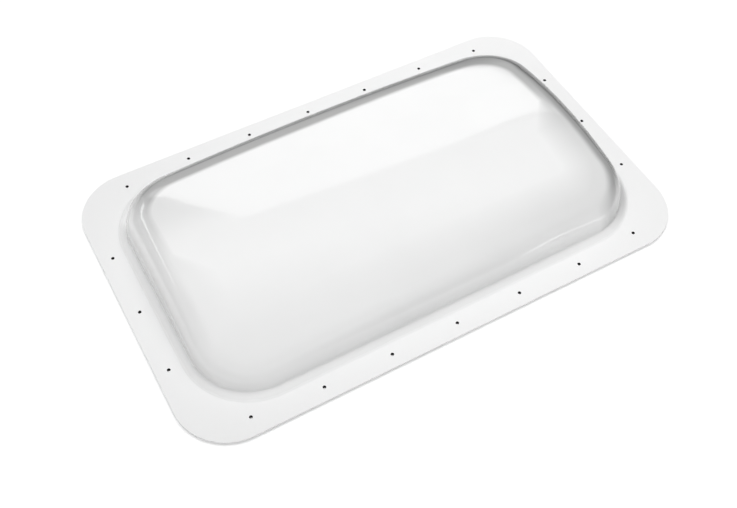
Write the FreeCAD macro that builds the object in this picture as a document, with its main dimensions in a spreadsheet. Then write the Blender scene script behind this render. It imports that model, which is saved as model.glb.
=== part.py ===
import FreeCAD, Part
import math
import os

import Sketcher

# A fixed skylight for a caravan roof: a moulded dome with a screwed flange, bedded on
# a sealing strip that is laid in four lengths and punched below the screw holes.
# The origin is under the middle of the strip, with +X along the flange and +Z up.

Vector = FreeCAD.Vector
doc = FreeCAD.newDocument("skylight")

# Driving sizes in millimetres, and the draft in degrees
SIZES = {
    "flange_length": 765.175,
    "flange_width": 473.075,
    "flange_corner_radius": 76.2,
    "sheet_thickness": 3.0,
    "step_margin_at_ends": 35.0,
    "step_margin_at_sides": 34.0,
    "ramp_run": 13.0,
    "ramp_rise": 5.0,
    "bend_radius": 2.5,
    "dome_corner_radius": 86.0,
    "dome_height": 74.0,
    "wall_draft": 3.0,
    "shoulder_radius": 38.0,
    "crown_rise_across": 36.0,
    "crown_rise_along": 12.5,
    "screw_hole_diameter": 4.8,
    "hole_pitch": 100.0,
    "hole_inset": 18.5,
    "corner_hole_inset": 25.5,
    "seal_thickness": 3.0,
    "seal_width": 27.0,
    "seal_inset": 5.0,
    "seal_hole_diameter": 4.2,
    "seal_joint_offset": 50.0,
}

# Holes on each side of the middle one: the corner pair ends a long row, set further in
LONG_ROW_REACH = 2
CORNER_REACH = 3
SHORT_ROW_REACH = 1

sheet = doc.addObject("Spreadsheet::Sheet", "sizes")
for row, (alias, size) in enumerate(SIZES.items(), start=1):
    sheet.set("A%d" % row, alias)
    sheet.set("B%d" % row, str(size))
    sheet.setAlias("B%d" % row, alias)
doc.recompute()

# Lengths that several pieces share
HALF_LENGTH = "(sizes.flange_length / 2)"
HALF_WIDTH = "(sizes.flange_width / 2)"
FLANGE_TOP = "(sizes.seal_thickness + sizes.sheet_thickness)"
DOME_HALF_LENGTH = "(%s - sizes.step_margin_at_ends - sizes.ramp_run)" % HALF_LENGTH
DOME_HALF_WIDTH = "(%s - sizes.step_margin_at_sides - sizes.ramp_run)" % HALF_WIDTH
CROWN_TOP = "(%s + sizes.dome_height)" % FLANGE_TOP


def arc_radius(half_span, rise):
    """The radius of an arc that rises by the given height over half its span."""
    return "((%s * %s + %s * %s) / (2 * %s))" % (half_span, half_span, rise, rise, rise)


CROWN_RADIUS_ACROSS = arc_radius(DOME_HALF_WIDTH, "sizes.crown_rise_across")
CROWN_RADIUS_ALONG = arc_radius(DOME_HALF_LENGTH, "sizes.crown_rise_along")

# Where three faces of the sheet turn into each other, a parallel face meets its neighbour
# on the line that halves the turn: slopes of the ramp and the wall, in degrees
RAMP_SLOPE = "(atan(sizes.ramp_rise / sizes.ramp_run) / 1 deg)"
WALL_SLOPE = "(90 - sizes.wall_draft)"
MEAN_SLOPE = "((%s + %s) / 2)" % (RAMP_SLOPE, WALL_SLOPE)
HALF_TURN = "((%s - %s) / 2)" % (WALL_SLOPE, RAMP_SLOPE)


def value_of(expression):
    """What an expression gives at the sizes now on the sheet, to start a sketch near its end."""
    return float(sheet.evalExpression(expression))


def bind(thing, name, expression):
    thing.setExpression(name, expression)


def new_body(label):
    body = doc.addObject("PartDesign::Body", label)
    body.Label = label
    return body


def new_sketch(body, name, role, height="0"):
    """A sketch on one of the body's own origin planes, lifted off it by the given height."""
    sketch = body.newObject("Sketcher::SketchObject", name)
    plane = [plane for plane in body.Origin.OriginFeatures if plane.Role == role][0]
    sketch.AttachmentSupport = [(plane, "")]
    sketch.MapMode = "FlatFace"
    bind(sketch, "AttachmentOffset.Base.z", height)
    return sketch


def hold(sketch, name, expression, kind, *where):
    """A named dimension on a sketch, driven by an expression."""
    index = sketch.addConstraint(Sketcher.Constraint(kind, *where, value_of(expression)))
    sketch.renameConstraint(index, name)
    bind(sketch, "Constraints." + name, expression)


def rounded_rectangle(sketch, name, half_length, half_width, radius):
    """Four lines and four tangent arcs, centred on the sketch's origin."""
    x = value_of(half_length)
    y = value_of(half_width)
    r = value_of(radius)
    arcs = []
    for turn, (side_x, side_y) in enumerate([(1, 1), (-1, 1), (-1, -1), (1, -1)]):
        circle = Part.Circle(Vector(side_x * (x - r), side_y * (y - r), 0), Vector(0, 0, 1), r)
        arc = Part.ArcOfCircle(circle, turn * math.pi / 2, (turn + 1) * math.pi / 2)
        arcs.append(sketch.addGeometry(arc))
    lines = []
    for turn in range(4):
        start = sketch.Geometry[arcs[turn]].EndPoint
        end = sketch.Geometry[arcs[(turn + 1) % 4]].StartPoint
        lines.append(sketch.addGeometry(Part.LineSegment(start, end)))
    for turn in range(4):
        direction = "Vertical" if turn % 2 else "Horizontal"
        sketch.addConstraint(Sketcher.Constraint("Tangent", arcs[turn], 2, lines[turn], 1))
        sketch.addConstraint(Sketcher.Constraint("Tangent", lines[turn], 2, arcs[(turn + 1) % 4], 1))
        sketch.addConstraint(Sketcher.Constraint(direction, lines[turn]))
    for arc in arcs[1:]:
        sketch.addConstraint(Sketcher.Constraint("Equal", arcs[0], arc))
    sketch.addConstraint(Sketcher.Constraint("Symmetric", arcs[0], 3, arcs[2], 3, -1, 1))
    hold(sketch, name + "_length", "2 * " + half_length, "DistanceX", lines[1], 1, lines[3], 1)
    hold(sketch, name + "_width", "2 * " + half_width, "DistanceY", lines[2], 1, lines[0], 1)
    hold(sketch, name + "_corner", radius, "Radius", arcs[0])


def pad(body, name, sketch, length):
    feature = body.newObject("PartDesign::Pad", name)
    feature.Profile = sketch
    bind(feature, "Length", length)
    sketch.Visibility = False
    return feature


def pocket(body, name, sketch, length):
    """A cut on both sides of its sketch, as deep each way as the length given."""
    feature = body.newObject("PartDesign::Pocket", name)
    feature.Profile = sketch
    feature.Midplane = True
    bind(feature, "Length", "2 * " + length)
    sketch.Visibility = False
    return feature


def hole_places():
    """Where the twenty screws go, as pairs of expressions."""
    places = []
    for side in (-1, 1):
        long_row = "%d * (%s - sizes.hole_inset)" % (side, HALF_WIDTH)
        corner_row = "%d * (%s - sizes.corner_hole_inset)" % (side, HALF_WIDTH)
        short_row = "%d * (%s - sizes.hole_inset)" % (side, HALF_LENGTH)
        for step in range(-LONG_ROW_REACH, LONG_ROW_REACH + 1):
            places.append(("%d * sizes.hole_pitch" % step, long_row))
        for step in (-CORNER_REACH, CORNER_REACH):
            places.append(("%d * sizes.hole_pitch" % step, corner_row))
        for step in range(-SHORT_ROW_REACH, SHORT_ROW_REACH + 1):
            places.append((short_row, "%d * sizes.hole_pitch" % step))
    return places


def punch_screw_holes(body, height, thickness, diameter):
    """The same twenty holes through whichever layer lies on the given height."""
    sketch = new_sketch(body, body.Label + "_hole_centres", "XY_Plane", height)
    rings = []
    for number, (x, y) in enumerate(hole_places(), start=1):
        centre = Vector(value_of(x), value_of(y), 0)
        ring = sketch.addGeometry(Part.Circle(centre, Vector(0, 0, 1), value_of(diameter) / 2))
        hold(sketch, "hole_%d_along" % number, x, "DistanceX", -1, 1, ring, 3)
        hold(sketch, "hole_%d_across" % number, y, "DistanceY", -1, 1, ring, 3)
        rings.append(ring)
    for ring in rings[1:]:
        sketch.addConstraint(Sketcher.Constraint("Equal", rings[0], ring))
    hold(sketch, "hole_diameter", diameter, "Diameter", rings[0])
    return pocket(body, body.Label + "_screw_holes", sketch, thickness)


def highest_face(feature):
    """The name of the face whose middle lies highest."""
    heights = [face.CenterOfMass.z for face in feature.Shape.Faces]
    return "Face%d" % (heights.index(max(heights)) + 1)


def outline_edges(feature, outline):
    """The names of the feature's edges that lie on a sketched outline."""
    names = []
    for number, edge in enumerate(feature.Shape.Edges, start=1):
        middle = edge.valueAt((edge.FirstParameter + edge.LastParameter) / 2)
        if outline.Shape.distToShape(Part.Vertex(middle))[0] < 0.01:
            names.append("Edge%d" % number)
    return names


def fillet(body, name, feature, edges, radius):
    rounded = body.newObject("PartDesign::Fillet", name)
    rounded.Base = (feature, edges)
    bind(rounded, "Radius", radius)
    doc.recompute()
    return rounded


def crown_cut(body, inset):
    """Trim the body to a crown that is an arc across, swept along a longer arc."""
    sketch = new_sketch(body, body.Label + "_crown_arc", "YZ_Plane")
    radius = "(%s - %s)" % (CROWN_RADIUS_ACROSS, inset)
    middle = "(%s - %s)" % (CROWN_TOP, CROWN_RADIUS_ACROSS)
    reach = "(%s + sizes.ramp_run)" % DOME_HALF_WIDTH
    lid = "(%s + sizes.dome_height)" % CROWN_TOP
    r = value_of(radius)
    x = value_of(reach)
    centre = Vector(0, value_of(middle), 0)
    opening = math.asin(x / r)
    circle = Part.Circle(centre, Vector(0, 0, 1), r)
    arc = sketch.addGeometry(Part.ArcOfCircle(circle, math.pi / 2 - opening, math.pi / 2 + opening))
    right_end = sketch.Geometry[arc].StartPoint
    left_end = sketch.Geometry[arc].EndPoint
    top_left = Vector(-x, value_of(lid), 0)
    top_right = Vector(x, value_of(lid), 0)
    left = sketch.addGeometry(Part.LineSegment(left_end, top_left))
    top = sketch.addGeometry(Part.LineSegment(top_left, top_right))
    right = sketch.addGeometry(Part.LineSegment(top_right, right_end))
    joints = [(arc, 2, left, 1), (left, 2, top, 1), (top, 2, right, 1), (right, 2, arc, 1)]
    for joint in joints:
        sketch.addConstraint(Sketcher.Constraint("Coincident", *joint))
    sketch.addConstraint(Sketcher.Constraint("Vertical", left))
    sketch.addConstraint(Sketcher.Constraint("Horizontal", top))
    sketch.addConstraint(Sketcher.Constraint("Vertical", right))
    sketch.addConstraint(Sketcher.Constraint("PointOnObject", arc, 3, -2))
    hold(sketch, "radius", radius, "Radius", arc)
    hold(sketch, "middle", middle, "DistanceY", -1, 1, arc, 3)
    hold(sketch, "left_reach", "-1 * " + reach, "DistanceX", -1, 1, left, 1)
    hold(sketch, "right_reach", reach, "DistanceX", -1, 1, right, 2)
    hold(sketch, "lid", lid, "DistanceY", -1, 1, top, 1)

    # The long arc turns about a level line far below the dome
    level = "(%s - %s)" % (CROWN_TOP, CROWN_RADIUS_ALONG)
    start = Vector(-x, value_of(level), 0)
    end = Vector(x, value_of(level), 0)
    axis = sketch.addGeometry(Part.LineSegment(start, end), True)
    sketch.addConstraint(Sketcher.Constraint("Horizontal", axis))
    hold(sketch, "axis_level", level, "DistanceY", -1, 1, axis, 1)
    hold(sketch, "axis_left", "-1 * " + reach, "DistanceX", -1, 1, axis, 1)
    hold(sketch, "axis_right", reach, "DistanceX", -1, 1, axis, 2)

    groove = body.newObject("PartDesign::Groove", body.Label + "_crown")
    groove.Profile = sketch
    groove.ReferenceAxis = (sketch, ["Axis0"])
    groove.Midplane = True
    bind(groove, "Angle", "4 * asin(%s / %s) / 1 deg" % (DOME_HALF_LENGTH, CROWN_RADIUS_ALONG))
    sketch.Visibility = False
    doc.recompute()
    return groove


def tapered_pad(body, name, sketch, height, lean):
    """A pad whose sides lean inwards by the given angle from upright."""
    feature = pad(body, name, sketch, height)
    bind(feature, "TaperAngle", "-1 * " + lean)
    doc.recompute()
    return feature


def dome_outline(body, name, height, spread):
    """The dome's outline at its foot, or as far outside that as the spread says."""
    sketch = new_sketch(body, name, "XY_Plane", height)
    half_length = "(%s + %s)" % (DOME_HALF_LENGTH, spread)
    half_width = "(%s + %s)" % (DOME_HALF_WIDTH, spread)
    corner_radius = "(sizes.dome_corner_radius + %s)" % spread
    rounded_rectangle(sketch, "foot", half_length, half_width, corner_radius)
    return sketch


def dome_form(body, inset):
    """The ramp, the wall, the shoulder and the crown, with every face moved in by the inset."""
    step_level = "(%s - %s)" % (FLANGE_TOP, inset)
    step_spread = "(sizes.ramp_run - %s * tan(%s / 2))" % (inset, RAMP_SLOPE)
    foot_drop = "(%s * cos(%s) / cos(%s))" % (inset, MEAN_SLOPE, HALF_TURN)
    foot_level = "(%s + sizes.ramp_rise - %s)" % (FLANGE_TOP, foot_drop)
    foot_spread = "(0 - %s * sin(%s) / cos(%s))" % (inset, MEAN_SLOPE, HALF_TURN)
    ramp_height = "(%s - %s)" % (foot_level, step_level)
    ramp_lean = "(90 - %s)" % RAMP_SLOPE

    step = dome_outline(body, body.Label + "_step_outline", step_level, step_spread)
    tapered_pad(body, body.Label + "_ramp", step, ramp_height, ramp_lean)
    foot = dome_outline(body, body.Label + "_foot_outline", foot_level, foot_spread)
    wall = tapered_pad(body, body.Label + "_wall", foot, "sizes.dome_height", "sizes.wall_draft")

    bend_radius = "(sizes.bend_radius + %s)" % inset
    bend = fillet(body, body.Label + "_foot_bend", wall, outline_edges(wall, foot), bend_radius)
    crown = crown_cut(body, inset)
    shoulder_radius = "(sizes.shoulder_radius - %s)" % inset
    shoulder = fillet(body, body.Label + "_shoulder", crown, [highest_face(crown)], shoulder_radius)
    return shoulder, step


def make_dome_shell():
    """The outer form with its flange and holes, less the inner form one sheet below it."""
    outer = new_body("outer_form")
    outline = new_sketch(outer, "flange_outline", "XY_Plane", "sizes.seal_thickness")
    rounded_rectangle(outline, "flange", HALF_LENGTH, HALF_WIDTH, "sizes.flange_corner_radius")
    pad(outer, "flange", outline, "sizes.sheet_thickness")
    doc.recompute()
    shoulder, step = dome_form(outer, "0")
    fillet(outer, "step_bend", shoulder, outline_edges(shoulder, step), "sizes.bend_radius")
    punch_screw_holes(outer, FLANGE_TOP, "sizes.sheet_thickness", "sizes.screw_hole_diameter")

    inner = new_body("inner_form")
    dome_form(inner, "sizes.sheet_thickness")

    shell = doc.addObject("Part::Cut", "dome_shell")
    shell.Base = outer
    shell.Tool = inner
    shell.Label = "dome_shell"
    doc.recompute()
    return shell


def make_seal_ring():
    """The sealing strip in one closed ring under the flange, with its punched holes."""
    ring = new_body("seal_ring")
    outline = new_sketch(ring, "seal_outline", "XY_Plane")
    for name, inset in [("outer", "sizes.seal_inset"), ("inner", "(sizes.seal_inset + sizes.seal_width)")]:
        half_length = "(%s - %s)" % (HALF_LENGTH, inset)
        half_width = "(%s - %s)" % (HALF_WIDTH, inset)
        corner_radius = "(sizes.flange_corner_radius - %s)" % inset
        rounded_rectangle(outline, name, half_length, half_width, corner_radius)
    pad(ring, "seal_strip", outline, "sizes.seal_thickness")
    doc.recompute()
    punch_screw_holes(ring, "sizes.seal_thickness", "sizes.seal_thickness", "sizes.seal_hole_diameter")
    return ring


def make_seal(ring, label, left, front, length, width):
    """One length of the sealing strip, cut square from the ring by a box with the given corner."""
    reach = doc.addObject("Part::Box", label + "_reach")
    bind(reach, "Placement.Base.x", left)
    bind(reach, "Placement.Base.y", front)
    bind(reach, "Length", length)
    bind(reach, "Width", width)
    bind(reach, "Height", "sizes.seal_thickness")
    seal = doc.addObject("Part::Common", label)
    seal.Base = ring
    seal.Tool = reach
    seal.Label = label
    return seal


def make_seals():
    """Four lengths that butt on the short sides, between the last two holes of each."""
    ring = make_seal_ring()
    joint = "(%d * sizes.hole_pitch + sizes.seal_joint_offset)" % SHORT_ROW_REACH
    left_end = "-1 * " + HALF_LENGTH
    front_side = "-1 * " + HALF_WIDTH
    end_reach = "(%s - %s)" % (HALF_WIDTH, joint)
    return [
        make_seal(ring, "front_seal", left_end, front_side, "sizes.flange_length", end_reach),
        make_seal(ring, "back_seal", left_end, joint, "sizes.flange_length", end_reach),
        make_seal(ring, "left_seal", left_end, "-1 * " + joint, HALF_LENGTH, "2 * " + joint),
        make_seal(ring, "right_seal", "0", "-1 * " + joint, HALF_LENGTH, "2 * " + joint),
    ]


nodes = [make_dome_shell()] + make_seals()
doc.recompute()

for thing in doc.Objects:
    if "Invalid" in thing.State or "Error" in thing.State:
        raise ValueError("%s did not build" % thing.Label)

os.makedirs("parts", exist_ok=True)
for node in nodes:
    if node.Shape.isNull() or not node.Shape.isValid():
        raise ValueError("%s has no sound shape" % node.Label)
    node.Shape.exportStep("parts/%s.step" % node.Label)
    print(node.Label, len(node.Shape.Solids), "solid", round(node.Shape.Volume), "cubic millimetres")
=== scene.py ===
import math

import bmesh
import bpy
import numpy as np
from mathutils import Matrix, Vector
from mathutils.geometry import delaunay_2d_cdt


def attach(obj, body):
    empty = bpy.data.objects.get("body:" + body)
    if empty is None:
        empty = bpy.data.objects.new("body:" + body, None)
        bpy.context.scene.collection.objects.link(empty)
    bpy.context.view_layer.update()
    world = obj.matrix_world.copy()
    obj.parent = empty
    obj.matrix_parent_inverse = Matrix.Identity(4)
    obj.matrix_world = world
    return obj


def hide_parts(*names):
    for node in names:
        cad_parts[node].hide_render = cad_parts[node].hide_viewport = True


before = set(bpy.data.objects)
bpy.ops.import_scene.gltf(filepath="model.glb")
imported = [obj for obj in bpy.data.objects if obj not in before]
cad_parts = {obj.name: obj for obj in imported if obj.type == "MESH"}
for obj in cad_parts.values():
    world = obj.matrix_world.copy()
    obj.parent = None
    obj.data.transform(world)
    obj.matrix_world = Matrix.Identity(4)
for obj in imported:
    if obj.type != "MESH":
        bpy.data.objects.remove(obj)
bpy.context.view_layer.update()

MM = 0.001

# The same sizes as the part's source, in millimetres and degrees
FLANGE_LENGTH = 765.175
FLANGE_WIDTH = 473.075
FLANGE_CORNER_RADIUS = 76.2
SHEET = 3.0
STEP_MARGIN_AT_ENDS = 35.0
STEP_MARGIN_AT_SIDES = 34.0
RAMP_RUN = 13.0
RAMP_RISE = 5.0
BEND_RADIUS = 2.5
DOME_CORNER_RADIUS = 86.0
DOME_HEIGHT = 74.0
WALL_DRAFT = 3.0
SHOULDER_RADIUS = 38.0
CROWN_RISE_ACROSS = 36.0
CROWN_RISE_ALONG = 12.5
HOLE_RADIUS = 2.4
HOLE_PITCH = 100.0
HOLE_INSET = 18.5
CORNER_HOLE_INSET = 25.5
SEAL = 3.0

HALF_LENGTH = FLANGE_LENGTH / 2
HALF_WIDTH = FLANGE_WIDTH / 2
FLANGE_TOP = SEAL + SHEET
FOOT_HALF_LENGTH = HALF_LENGTH - STEP_MARGIN_AT_ENDS - RAMP_RUN
FOOT_HALF_WIDTH = HALF_WIDTH - STEP_MARGIN_AT_SIDES - RAMP_RUN
FOOT_LEVEL = FLANGE_TOP + RAMP_RISE
CROWN_TOP = FLANGE_TOP + DOME_HEIGHT

# Sizes of the drawn shape alone, in millimetres and degrees
LEAST_WALL = 0.6         # the straight wall never gets shorter than this
EASING = 0.4             # the flange's rim is eased by this much above and below
EASING_MIDDLE = 0.29     # how far the middle of the easing stands back, as a share of it
MERGE_DISTANCE = 0.02
SHARP_ANGLE = 35
SMALL_MOVE = 0.01        # the step that the crown's slope is measured over
LEAST_INSET = 5.0        # the shoulder's upper end is looked for between these insets
MOST_INSET = 80.0
HALVINGS = 40

HOLE_WALL = 1            # the dome's second material slot

# Points along the straight sides, round a corner and a hole, over the crown and up the section
DOME_NET = {
    "along": 110, "across": 50, "corner": 36, "crown": 40, "hole": 28,
    "fan": {"step": 5, "ramp": 4, "foot": 9, "wall": 6, "shoulder": 22},
}

QUARTERS = [(1, 1), (-1, 1), (-1, -1), (1, -1)]


def arc_radius(half_span, rise):
    return (half_span ** 2 + rise ** 2) / (2 * rise)


RADIUS_ACROSS = arc_radius(FOOT_HALF_WIDTH, CROWN_RISE_ACROSS)
RADIUS_ALONG = arc_radius(FOOT_HALF_LENGTH, CROWN_RISE_ALONG)


def crown_level(x, y):
    """The crown: an arc across the dome, swept along a longer arc."""
    across = RADIUS_ALONG - RADIUS_ACROSS + np.sqrt(RADIUS_ACROSS ** 2 - y ** 2)
    return CROWN_TOP - RADIUS_ALONG + np.sqrt(across ** 2 - x ** 2)


# Geometry

def perimeter(straight_x, straight_y, corner):
    """Directions and corner centres all the way round: where each section of the dome starts."""
    centre_x = FOOT_HALF_LENGTH - DOME_CORNER_RADIUS
    centre_y = FOOT_HALF_WIDTH - DOME_CORNER_RADIUS
    bases = []
    normals = []
    for turn, (side_x, side_y) in enumerate(QUARTERS):
        centre = np.array([side_x * centre_x, side_y * centre_y])
        next_x, next_y = QUARTERS[(turn + 1) % 4]
        next_centre = np.array([next_x * centre_x, next_y * centre_y])
        for step in range(corner):
            angle = (turn + step / corner) * math.pi / 2
            bases.append(centre)
            normals.append((math.cos(angle), math.sin(angle)))
        angle = (turn + 1) * math.pi / 2
        count = straight_y if turn % 2 else straight_x
        for step in range(count):
            bases.append(centre + (next_centre - centre) * step / count)
            normals.append((math.cos(angle), math.sin(angle)))
    return np.array(bases), np.array(normals)


def shoulder_of(base, normal):
    """The shoulder's middle and the crown's slope above it, in the section through one place."""
    lean = math.tan(math.radians(WALL_DRAFT))
    foot = base + DOME_CORNER_RADIUS * normal

    def crown_at(inset):
        x, y = foot - inset * normal
        return crown_level(x, y)

    def off_wall(inset):
        slope = (crown_at(inset + SMALL_MOVE) - crown_at(inset - SMALL_MOVE)) / (2 * SMALL_MOVE)
        length = math.sqrt(1 + slope * slope)
        middle_inset = inset + SHOULDER_RADIUS * slope / length
        middle_level = crown_at(inset) - SHOULDER_RADIUS / length
        rise = middle_level - FOOT_LEVEL
        gap = (middle_inset - rise * lean) * math.cos(math.radians(WALL_DRAFT))
        return gap - SHOULDER_RADIUS, middle_inset, middle_level, math.atan(slope)

    low, high = LEAST_INSET, MOST_INSET
    for _ in range(HALVINGS):
        middle = (low + high) / 2
        if off_wall(middle)[0] < 0:
            low = middle
        else:
            high = middle
    _, middle_inset, middle_level, slope = off_wall(low)
    return middle_inset, middle_level, slope


def shoulder_arc(middle, start, end, count):
    """Points round the shoulder, as (inset, level), by angle from level outwards."""
    return [(middle[0] - SHOULDER_RADIUS * math.cos(angle), middle[1] + SHOULDER_RADIUS * math.sin(angle))
            for angle in np.linspace(start, end, count)]


def hollow_bend(middle, start, end, count):
    """Points round a bend that is hollow towards the outside."""
    return [(middle[0] + BEND_RADIUS * math.sin(angle), middle[1] - BEND_RADIUS * math.cos(angle))
            for angle in np.linspace(start, end, count)]


def between(first, last, count):
    """The points that cut a straight line into count pieces, without its ends."""
    return [(first[0] * (1 - t) + last[0] * t, first[1] * (1 - t) + last[1] * t)
            for t in (step / count for step in range(1, count))]


def section(base, normal, fan):
    """One upright section from the flange to the crown, as (inset, level) points from the foot."""
    ramp = math.atan2(RAMP_RISE, RAMP_RUN)
    wall = math.radians(90 - WALL_DRAFT)
    tangent = BEND_RADIUS * math.tan(ramp / 2)
    step_middle = (-RAMP_RUN - tangent, FLANGE_TOP + BEND_RADIUS)
    points = hollow_bend(step_middle, 0, ramp, fan["step"])
    tangent = BEND_RADIUS * math.tan((wall - ramp) / 2)
    ramp_end = (-tangent * math.cos(ramp), FOOT_LEVEL - tangent * math.sin(ramp))
    points += between(points[-1], ramp_end, fan["ramp"])
    foot_middle = (ramp_end[0] - BEND_RADIUS * math.sin(ramp), ramp_end[1] + BEND_RADIUS * math.cos(ramp))
    points += hollow_bend(foot_middle, ramp, wall, fan["foot"])
    wall_start = points[-1]
    middle_inset, middle_level, slope = shoulder_of(base, normal)
    # Low down at the corners the foot's bend runs almost straight into the shoulder
    above_bend = math.asin((wall_start[1] + LEAST_WALL - middle_level) / SHOULDER_RADIUS)
    lowest = max(math.radians(WALL_DRAFT), above_bend)
    shoulder = shoulder_arc((middle_inset, middle_level), lowest, math.pi / 2 - slope, fan["shoulder"])
    points += between(wall_start, shoulder[0], fan["wall"])
    return points + shoulder


def outer_grid(sizes):
    """Rings of points from the step inwards to the ridge line, on the outer skin."""
    bases, normals = perimeter(sizes["along"], sizes["across"], sizes["corner"])
    feet = bases + DOME_CORNER_RADIUS * normals
    sections = np.array([section(base, normal, sizes["fan"]) for base, normal in zip(bases, normals)])
    rings = []
    for step in range(sections.shape[1]):
        inset = sections[:, step, 0][:, None]
        flat = feet - inset * normals
        rings.append(np.column_stack([flat, sections[:, step, 1]]))
    edge = rings[-1][:, :2]
    ridge = FOOT_HALF_LENGTH - FOOT_HALF_WIDTH
    spine = np.column_stack([np.clip(edge[:, 0], -ridge, ridge), np.zeros(len(edge))])
    for step in range(1, sizes["crown"]):
        t = step / sizes["crown"]
        flat = edge * (1 - t) + spine * t
        rings.append(np.column_stack([flat, crown_level(flat[:, 0], flat[:, 1])]))
    return np.array(rings), spine


def inner_grid(rings):
    """The inner skin, one sheet below and square to the outer one."""
    ahead = np.roll(rings, -1, axis=1) - np.roll(rings, 1, axis=1)
    inward = np.gradient(rings, axis=0)
    square = np.cross(ahead, inward)
    square /= np.linalg.norm(square, axis=2, keepdims=True)
    square *= np.sign(square[:, :, 2:3] + 1e-9)
    inner = (rings - SHEET * square)[1:]
    inner[0, :, 2] = SEAL
    return inner


def flange_outline(inset, corner):
    """The flange's outline, this far inside its edge."""
    radius = FLANGE_CORNER_RADIUS - inset
    points = []
    for turn, (side_x, side_y) in enumerate(QUARTERS):
        for step in range(corner + 1):
            angle = (turn + step / corner) * math.pi / 2
            points.append((side_x * (HALF_LENGTH - inset - radius) + radius * math.cos(angle),
                           side_y * (HALF_WIDTH - inset - radius) + radius * math.sin(angle)))
    return points


def hole_places():
    places = []
    for side in (-1, 1):
        places += [(step * HOLE_PITCH, side * (HALF_WIDTH - HOLE_INSET)) for step in range(-2, 3)]
        places += [(step * HOLE_PITCH, side * (HALF_WIDTH - CORNER_HOLE_INSET)) for step in (-3, 3)]
        places += [(side * (HALF_LENGTH - HOLE_INSET), step * HOLE_PITCH) for step in range(-1, 2)]
    return places


def hole_outlines(count):
    angles = [2 * math.pi * step / count for step in range(count)]
    return [[(x + HOLE_RADIUS * math.cos(angle), y + HOLE_RADIUS * math.sin(angle)) for angle in angles]
            for x, y in hole_places()]


def add_skin(bm, rings, flip):
    """A net of quads over rings of points, open at its first and last ring."""
    verts = [[bm.verts.new(Vector(point) * MM) for point in ring] for ring in rings]
    count = len(verts[0])
    for low, high in zip(verts[:-1], verts[1:]):
        for here in range(count):
            there = (here + 1) % count
            corners = (low[here], low[there], high[there], high[here])
            bm.faces.new(corners[::-1] if flip else corners).smooth = True
    return verts


def close_ridge(bm, ring, spine, flip, drop):
    """The last ring meets a line of points along the middle of the crown."""
    levels = crown_level(spine[:, 0], spine[:, 1]) - drop
    made = {}
    tops = []
    for (x, _), level in zip(spine, levels):
        key = round(x, 4)
        if key not in made:
            made[key] = bm.verts.new(Vector((x, 0, level)) * MM)
        tops.append(made[key])
    count = len(ring)
    for here in range(count):
        there = (here + 1) % count
        corners = [ring[here], ring[there]]
        corners += [tops[there]] if tops[there] is tops[here] else [tops[there], tops[here]]
        bm.faces.new(corners[::-1] if flip else corners).smooth = True


def middle_of(points):
    return sum((Vector(point) for point in points), Vector((0, 0))) / len(points)


def inside(point, loop):
    x, y = point
    hit = False
    for (x0, y0), (x1, y1) in zip(loop, loop[1:] + loop[:1]):
        if (y0 > y) != (y1 > y) and x < (x1 - x0) * (y - y0) / (y1 - y0) + x0:
            hit = not hit
    return hit


def flat_ring(bm, outer, inner, holes, level, flip):
    """A level face between two loops, with round holes: gives back its vertices by loop."""
    loops = [outer, inner] + holes
    flat = [Vector(point) for loop in loops for point in loop]
    edges = []
    start = 0
    for loop in loops:
        edges += [(start + i, start + (i + 1) % len(loop)) for i in range(len(loop))]
        start += len(loop)
    coords, _, faces, origins, _, _ = delaunay_2d_cdt(flat, edges, [], 0, 1e-6)
    verts = [None] * len(flat)
    made = []
    for point, origin in zip(coords, origins):
        vert = bm.verts.new(Vector((point.x, point.y, level)) * MM)
        made.append(vert)
        for index in origin:
            verts[index] = vert
    spots = [(middle_of(hole), hole) for hole in holes]
    for face in faces:
        middle = middle_of([coords[i] for i in face])
        in_hole = any((middle - spot).length < HOLE_RADIUS and inside(middle, hole)
                      for spot, hole in spots)
        if in_hole or inside(middle, inner):
            continue
        corners = [made[i] for i in face]
        bm.faces.new(corners[::-1] if flip else corners).smooth = False
    by_loop = []
    start = 0
    for loop in loops:
        by_loop.append(verts[start:start + len(loop)])
        start += len(loop)
    return by_loop


def bridge(bm, top, bottom, slot=0):
    for here in range(len(top)):
        there = (here + 1) % len(top)
        wall = bm.faces.new((top[here], bottom[here], bottom[there], top[there]))
        wall.smooth = True
        wall.material_index = slot


def add_rim(bm, top, bottom, corner):
    """The flange's edge, eased above and below."""
    back = EASING * EASING_MIDDLE
    last = top
    for level, inset in ((FLANGE_TOP - back, back), (FLANGE_TOP - EASING, 0.0),
                         (SEAL + EASING, 0.0), (SEAL + back, back)):
        verts = [bm.verts.new(Vector((x, y, level)) * MM) for x, y in flange_outline(inset, corner)]
        bridge(bm, last, verts)
        last = verts
    bridge(bm, last, bottom)


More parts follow.
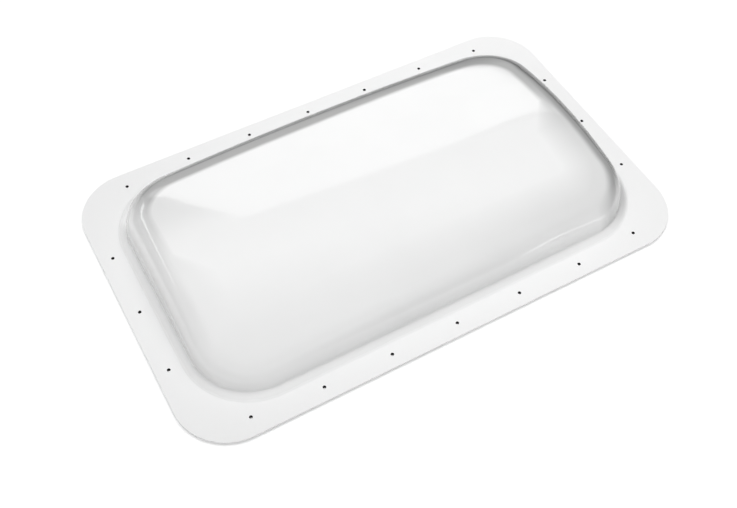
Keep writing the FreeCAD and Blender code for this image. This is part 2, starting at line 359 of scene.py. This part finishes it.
def make_dome(sizes):
    outer_rings, spine = outer_grid(sizes)
    inner_rings = inner_grid(outer_rings)
    rim = flange_outline(EASING, sizes["corner"])
    holes = hole_outlines(sizes["hole"])

    bm = bmesh.new()
    sides = []
    for rings, level, flip, drop in ((outer_rings, FLANGE_TOP, False, 0.0), (inner_rings, SEAL, True, SHEET)):
        verts = add_skin(bm, rings, flip)
        close_ridge(bm, verts[-1], spine, flip, drop)
        foot_loop = [tuple(point) for point in rings[0][:, :2]]
        sides.append(flat_ring(bm, rim, foot_loop, holes, level, flip))
    top, bottom = sides
    add_rim(bm, top[0], bottom[0], sizes["corner"])
    for upper, lower in zip(top[2:], bottom[2:]):
        bridge(bm, lower, upper, HOLE_WALL)

    bmesh.ops.remove_doubles(bm, verts=bm.verts, dist=MERGE_DISTANCE * MM)
    bmesh.ops.recalc_face_normals(bm, faces=bm.faces)
    for edge in bm.edges:
        edge.smooth = edge.calc_face_angle(0) < math.radians(SHARP_ANGLE)
    mesh = bpy.data.meshes.new("dome_moulding")
    bm.to_mesh(mesh)
    bm.free()
    moulding = bpy.data.objects.new("dome_moulding", mesh)
    bpy.context.scene.collection.objects.link(moulding)
    return moulding


# Shader nodes: a value is either a number, a colour or a vector, or the output of another node

MIX_SOCKETS = {"FLOAT": (2, 3, 0), "RGBA": (6, 7, 2)}


def new_material(name):
    material = bpy.data.materials.new(name)
    material.use_nodes = True
    material.node_tree.nodes.clear()
    return material, material.node_tree


def node(tree, kind, **settings):
    made = tree.nodes.new(kind)
    for name, value in settings.items():
        setattr(made, name, value)
    return made


def feed(tree, socket, value):
    if isinstance(value, bpy.types.NodeSocket):
        tree.links.new(value, socket)
    else:
        socket.default_value = value


def feed_all(tree, made, values):
    for name, value in values.items():
        feed(tree, made.inputs[name], value)


def coordinates(tree, kind):
    return node(tree, "ShaderNodeTexCoord").outputs[kind]


def axes_of(tree, vector):
    made = node(tree, "ShaderNodeSeparateXYZ")
    feed(tree, made.inputs[0], vector)
    return made.outputs


def noise(tree, place, scale, detail, roughness=0.5):
    made = node(tree, "ShaderNodeTexNoise")
    feed_all(tree, made, {"Vector": place, "Scale": scale, "Detail": detail, "Roughness": roughness})
    return made.outputs["Fac"]


def spread(tree, value, low, high, from_low=0.3, from_high=0.7):
    made = node(tree, "ShaderNodeMapRange")
    feed_all(tree, made, {"Value": value, "From Min": from_low, "From Max": from_high,
                          "To Min": low, "To Max": high})
    return made.outputs["Result"]


def mix(tree, kind, factor, low, high):
    made = node(tree, "ShaderNodeMix", data_type=kind)
    first, second, result = MIX_SOCKETS[kind]
    feed_all(tree, made, {0: factor, first: low, second: high})
    return made.outputs[result]


def blend_colour(tree, factor, low, high):
    return mix(tree, "RGBA", factor, (*low, 1), (*high, 1))


def bump(tree, height, strength, distance):
    made = node(tree, "ShaderNodeBump")
    feed_all(tree, made, {"Height": height, "Strength": strength, "Distance": distance})
    return made.outputs["Normal"]


def calculate(tree, operation, *values):
    made = node(tree, "ShaderNodeMath", operation=operation)
    feed_all(tree, made, dict(enumerate(values)))
    return made.outputs[0]


def product(tree, *values):
    last = values[0]
    for value in values[1:]:
        last = calculate(tree, "MULTIPLY", last, value)
    return last


def on_vector(tree, operation, *values):
    made = node(tree, "ShaderNodeVectorMath", operation=operation)
    feed_all(tree, made, dict(enumerate(values)))
    return made.outputs["Value" if operation in ("LENGTH", "DOT_PRODUCT") else "Vector"]


def scaled(tree, vector, amount):
    made = node(tree, "ShaderNodeVectorMath", operation="SCALE")
    feed_all(tree, made, {0: vector, "Scale": amount})
    return made.outputs["Vector"]


def principled(tree, values):
    shader = node(tree, "ShaderNodeBsdfPrincipled")
    feed_all(tree, shader, values)
    return shader.outputs[0]


def glow(tree, strength):
    shader = node(tree, "ShaderNodeEmission")
    feed(tree, shader.inputs["Strength"], strength)
    return shader.outputs[0]


def show_surface(tree, shader, output="ShaderNodeOutputMaterial"):
    tree.links.new(shader, node(tree, output).inputs["Surface"])


# Materials

PLASTIC_IOR = 1.49
FLANGE_ROUGHNESS = (0.32, 0.42)
DOME_ROUGHNESS = (0.07, 0.12)

# The opaque middle of the dome and the clear zone round it, in metres
OPAQUE_MIDDLE_X = -0.006
OPAQUE_HALF_SIZES = (0.239, 0.092, 0.0)
CLEAR_START_IN_FRONT = 0.012     # how far past the opaque middle the sheet begins to clear
CLEAR_START_AT_BACK = 0.051
CLEAR_FULL = 0.059               # and where it is clear
FRONT_TO_BACK = (-0.03, 0.02)
ABOVE_WALL = (0.034, 0.046)
OFF_LEFT_END = (-0.325, -0.285)
CLEAR_AT_LEFT_END = 0.1

# How clear the sheet is by how far it turns from the eye: two ramps, added up
FIRST_TURN = (0.0, 0.42, 0.05, 0.42)
SECOND_TURN = (0.0, 0.50, 0.50, 0.68)

# The tones of the plastic; the levels are in metres, above the underside of the strip
FORMED_ABOVE = (0.0062, 0.0085)
# The flange's tones are painted light: darker at the left end, lighter towards the right
FLANGE_PAINTED_LIGHT_TONES = ((0.905, 0.907, 0.907), (0.975, 0.977, 0.976))
FLANGE_PAINTED_LIGHT_FROM_LEFT = (-0.3, 0.36)
DOME_TONES = ((0.93, 0.933, 0.932), (0.952, 0.954, 0.952))
# Painted shade on faces turned to the right and left ends, by how far they turn
PAINTED_SHADE_TO_RIGHT = (1.0, 0.78, 0.08, 0.30)
PAINTED_SHADE_TO_LEFT = (0.90, 1.0, -0.97, -0.80)
COAT_BY_HEIGHT = (0.1, 0.8, 0.012, 0.034)
GLASS_TONE = (0.45, 0.46, 0.46, 1)


def clear_zone(tree, place, axes):
    """Where forming stretched the sheet thin and clear: round the dome's shoulder, least at the left."""
    moved = on_vector(tree, "ADD", place, (-OPAQUE_MIDDLE_X, 0.0, 0.0))
    away = on_vector(tree, "ABSOLUTE", moved)
    past = on_vector(tree, "SUBTRACT", away, OPAQUE_HALF_SIZES)
    kept = on_vector(tree, "MAXIMUM", past, (0.0, 0.0, 0.0))
    reach = on_vector(tree, "LENGTH", on_vector(tree, "MULTIPLY", kept, (1.0, 1.0, 0.0)))
    # The zone begins sharply along the back and softly towards the front
    start = spread(tree, axes["Y"], CLEAR_START_IN_FRONT, CLEAR_START_AT_BACK, *FRONT_TO_BACK)
    past_middle = spread(tree, reach, 0.0, 1.0, start, CLEAR_FULL)
    above_wall = spread(tree, axes["Z"], 0.0, 1.0, *ABOVE_WALL)
    off_left = spread(tree, axes["X"], CLEAR_AT_LEFT_END, 1.0, *OFF_LEFT_END)
    facing = node(tree, "ShaderNodeLayerWeight").outputs["Facing"]
    along_sheet = calculate(tree, "ADD", spread(tree, facing, *FIRST_TURN),
                            spread(tree, facing, *SECOND_TURN))
    return product(tree, past_middle, above_wall, off_left, along_sheet)


def moulded_plastic():
    """Glossy white sheet that turns glassy where it is seen along its surface."""
    material, tree = new_material("moulded_plastic")
    place = coordinates(tree, "Object")
    axes = axes_of(tree, place)
    # The flange, clamped while the dome is drawn, is duller than the dome
    formed = spread(tree, axes["Z"], 0.0, 1.0, *FORMED_ABOVE)
    # The flange is painted lighter towards the right end, as painted light
    flange_painted_light_tone = blend_colour(tree, spread(tree, axes["X"], 0.0, 1.0, *FLANGE_PAINTED_LIGHT_FROM_LEFT), *FLANGE_PAINTED_LIGHT_TONES)
    cloud = spread(tree, noise(tree, place, scale=9, detail=3), 0, 1)
    dome_tone = blend_colour(tree, cloud, *DOME_TONES)
    # Faces turned to the ends are painted a shade greyer, most at the right: painted shade
    turned = axes_of(tree, coordinates(tree, "Normal"))["X"]
    shade = product(tree, spread(tree, turned, *PAINTED_SHADE_TO_RIGHT), spread(tree, turned, *PAINTED_SHADE_TO_LEFT))
    tone = mix(tree, "RGBA", formed, flange_painted_light_tone, scaled(tree, dome_tone, shade))
    fine = noise(tree, place, scale=60, detail=4)
    roughness = mix(tree, "FLOAT", formed, spread(tree, fine, *FLANGE_ROUGHNESS),
                    spread(tree, fine, *DOME_ROUGHNESS))
    ripple = bump(tree, noise(tree, place, scale=16, detail=2), strength=0.15, distance=0.0012)
    shared = {"IOR": PLASTIC_IOR, "Roughness": roughness, "Normal": ripple}
    # The coat is strongest from the shoulder up
    coat = spread(tree, axes["Z"], *COAT_BY_HEIGHT)
    sheet = principled(tree, {"Base Color": tone, "Coat Weight": coat, "Coat Roughness": 0.04, **shared})
    glass = principled(tree, {"Base Color": GLASS_TONE, "Transmission Weight": 1.0, **shared})
    mixed = node(tree, "ShaderNodeMixShader")
    feed_all(tree, mixed, {0: clear_zone(tree, place, axes), 1: sheet, 2: glass})
    show_surface(tree, mixed.outputs[0])
    return material


def hole_wall_painted_shade():
    """The cut walls of the screw holes, rough and painted near black: painted shade."""
    material, tree = new_material("hole_wall_painted_shade")
    marks = noise(tree, coordinates(tree, "Object"), scale=1500, detail=3)
    show_surface(tree, principled(tree, {
        "Base Color": blend_colour(tree, marks, (0.02, 0.02, 0.02), (0.06, 0.06, 0.06)),
        "Roughness": spread(tree, marks, 0.6, 0.8),
    }))
    return material


def strip_rubber():
    """Black foamed rubber with a fine open grain."""
    material, tree = new_material("strip_rubber")
    place = coordinates(tree, "Object")
    cells = noise(tree, place, scale=900, detail=4, roughness=0.7)
    show_surface(tree, principled(tree, {
        "Base Color": blend_colour(tree, spread(tree, cells, 0, 1),
                                   (0.018, 0.018, 0.019), (0.045, 0.045, 0.047)),
        "Roughness": spread(tree, noise(tree, place, scale=120, detail=3), 0.65, 0.85),
        "Normal": bump(tree, cells, strength=0.5, distance=0.0003),
    }))
    return material


FLOOR_HALF = 14.0
FLOOR_GLOW = 0.28
FLOOR_FAR = (0.8, 5.0)       # metres from the object between which the floor's own light grows
FLOOR_FAR_GLOW = 0.5


def floor_paint():
    """Pale card that reads as white to the camera and keeps the object's shadow."""
    material, tree = new_material("floor_card")
    place = coordinates(tree, "Object")
    grain = spread(tree, noise(tree, place, scale=400, detail=3), 0, 1)
    card = node(tree, "ShaderNodeBsdfDiffuse")
    feed(tree, card.inputs["Color"], blend_colour(tree, grain, (0.90, 0.90, 0.90), (0.92, 0.92, 0.92)))
    # One for what the camera, a mirror or the clear sheet shows, and nought for plain light
    path = node(tree, "ShaderNodeLightPath").outputs
    seen = path["Is Camera Ray"]
    for kind in ("Is Glossy Ray", "Is Transmission Ray"):
        seen = calculate(tree, "MAXIMUM", seen, path[kind])
    # Far from the object, where the lamp does not reach, the card itself is what looks white
    far = spread(tree, on_vector(tree, "LENGTH", place), 0.0, FLOOR_FAR_GLOW, *FLOOR_FAR)
    far_seen = product(tree, far, path["Is Camera Ray"])
    total = node(tree, "ShaderNodeAddShader")
    feed_all(tree, total, {0: card.outputs[0],
                           1: glow(tree, calculate(tree, "MULTIPLY_ADD", seen, FLOOR_GLOW, far_seen))})
    show_surface(tree, total.outputs[0])
    return material


# The pieces

dome = make_dome(DOME_NET)
dome.data.materials.append(moulded_plastic())
# The second slot: the screw holes' walls, painted near black as painted shade
dome.data.materials.append(hole_wall_painted_shade())
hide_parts("dome_shell")
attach(dome, "root")

rubber = strip_rubber()
for name in ("front_seal", "back_seal", "left_seal", "right_seal"):
    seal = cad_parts[name]
    seal.data.materials.clear()
    seal.data.materials.append(rubber)


# The floor, the light and the camera

def make_floor():
    corners = [(side_x * FLOOR_HALF, side_y * FLOOR_HALF, 0)
               for side_x, side_y in ((-1, -1), (1, -1), (1, 1), (-1, 1))]
    mesh = bpy.data.meshes.new("floor")
    mesh.from_pydata(corners, [], [(0, 1, 2, 3)])
    floor = bpy.data.objects.new("floor", mesh)
    floor.data.materials.append(floor_paint())
    bpy.context.scene.collection.objects.link(floor)


def make_lamp(name, place, target, width, height, watts):
    lamp = bpy.data.lights.new(name, "AREA")
    lamp.shape = "RECTANGLE"
    lamp.size = width
    lamp.size_y = height
    lamp.energy = watts
    holder = bpy.data.objects.new(name, lamp)
    holder.location = place
    holder.rotation_euler = (Vector(target) - Vector(place)).to_track_quat("-Z", "Y").to_euler()
    holder.visible_camera = False
    holder.visible_glossy = False
    bpy.context.scene.collection.objects.link(holder)


# Cards that only the gloss shows, as (x, z) places in metres on an upright plane far off
CARD_DISTANCE = 12.0
NARROW_HALF_HEIGHT = 0.5
WINDOW = [
    (0.2, 3.7), (0.6, 5.2), (0.9, 7.5), (1.5, 10.4), (2.2, 13.5), (4.0, 14.3), (5.8, 15.1), (7.8, 15.6),
    (9.9, 15.8), (12.0, 14.9), (13.3, 14.9), (14.6, 16.3), (16.7, 18.3), (17.1, 17.7), (14.8, 15.4),
    (13.2, 13.6), (12.0, 11.8), (10.9, 10.1), (9.0, 6.5), (7.9, 4.2), (6.7, 2.9), (3.6, 3.8),
]
SLIT = [(-0.4, 4.4), (-2.7, 4.7), (-7.1, 6.6), (-10.0, 8.6), (-13.5, 11.2), (-17.1, 13.1)]
GLINT = [(5.8, 0.6), (6.1, 0.6), (6.4, 1.2), (6.8, 2.5), (7.3, 3.3), (7.7, 2.7), (9.3, 1.2), (13.4, 1.2)]


def make_card(name, outline, y, strength):
    """A lit card that shows in the gloss alone."""
    mesh = bpy.data.meshes.new(name)
    mesh.from_pydata([(x, y, z) for x, z in outline], [], [tuple(range(len(outline)))])
    card = bpy.data.objects.new(name, mesh)
    material, tree = new_material(name)
    show_surface(tree, glow(tree, strength))
    mesh.materials.append(material)
    card.visible_camera = False
    card.visible_diffuse = False
    card.visible_transmission = False
    card.visible_shadow = False
    bpy.context.scene.collection.objects.link(card)


def narrow(line):
    """The outline of a narrow card along a line: its lower edge, then its upper edge back."""
    low = [(x, z - NARROW_HALF_HEIGHT) for x, z in line]
    high = [(x, z + NARROW_HALF_HEIGHT) for x, z in line]
    return low + high[::-1]


# The light comes most from the front and the left, and nearly none from behind
LIGHT_FROM = Vector((-0.52, -0.78, 0.36)).normalized()
LIGHT_LEVELS = (0.048, 0.60, -0.5, 0.8)
LEAST_LIGHT = 0.024

# In the gloss the sky is brightest high up at the back, and dim overhead
GLOSS_FROM = (0.5, 0.85, 0.0)
GLOSS_SLOPE = (-0.48, 0.84, 0.0, 0.42)
GLOSS_HEIGHTS = (0.55, 0.70)


def make_world():
    """Soft light for the object, and plain white for the camera."""
    world = bpy.data.worlds.new("studio")
    world.use_nodes = True
    tree = world.node_tree
    tree.nodes.clear()
    direction = coordinates(tree, "Generated")
    level = spread(tree, on_vector(tree, "DOT_PRODUCT", direction, LIGHT_FROM), *LIGHT_LEVELS)
    slope = spread(tree, on_vector(tree, "DOT_PRODUCT", direction, GLOSS_FROM), *GLOSS_SLOPE)
    high = spread(tree, axes_of(tree, direction)["Z"], 0.0, 1.0, *GLOSS_HEIGHTS)
    path = node(tree, "ShaderNodeLightPath").outputs
    extra = product(tree, slope, high, path["Is Glossy Ray"])
    kept = calculate(tree, "MAXIMUM", calculate(tree, "ADD", level, extra), LEAST_LIGHT)
    sky = node(tree, "ShaderNodeBackground")
    feed_all(tree, sky, {"Color": (1, 1, 1, 1),
                         "Strength": mix(tree, "FLOAT", path["Is Camera Ray"], kept, 1.0)})
    show_surface(tree, sky.outputs[0], "ShaderNodeOutputWorld")
    bpy.context.scene.world = world


CAMERA_PLACE = (-459.36, -764.56, 1142.88 + FLANGE_TOP)
CAMERA_FORWARD = (0.292487, 0.500297, -0.814956)
CAMERA_ROLL = 1.43
FOCAL_PIXELS = 1004.15
WIDTH_PIXELS = 737
SENSOR_WIDTH = 36


def make_camera():
    """The view of the photograph: about 55 degrees up, from the front left."""
    roll = math.radians(CAMERA_ROLL)
    forward = Vector(CAMERA_FORWARD).normalized()
    level_right = forward.cross(Vector((0, 0, 1))).normalized()
    level_up = level_right.cross(forward)
    right = level_right * math.cos(roll) + level_up * math.sin(roll)
    up = right.cross(forward)
    camera_data = bpy.data.cameras.new("camera")
    camera_data.sensor_width = SENSOR_WIDTH
    camera_data.lens = FOCAL_PIXELS / WIDTH_PIXELS * SENSOR_WIDTH
    camera = bpy.data.objects.new("camera", camera_data)
    matrix = Matrix((right, up, -forward)).transposed().to_4x4()
    matrix.translation = Vector(CAMERA_PLACE) * MM
    camera.matrix_world = matrix
    bpy.context.scene.collection.objects.link(camera)
    bpy.context.scene.camera = camera


make_floor()
make_world()
make_card("back_window", WINDOW, CARD_DISTANCE, strength=1.75)
make_card("side_slit", narrow(SLIT), CARD_DISTANCE, strength=2.5)
# The glint's left end runs to a point, without its upper corner
make_card("front_glint", narrow(GLINT)[:-1], -CARD_DISTANCE, strength=3.2)
make_lamp("overhead", place=(0.14, 0.30, 2.3), target=(0, 0, 0), width=2.6, height=1.6, watts=38.5)
make_camera()
bpy.context.scene.view_settings.view_transform = "Standard"
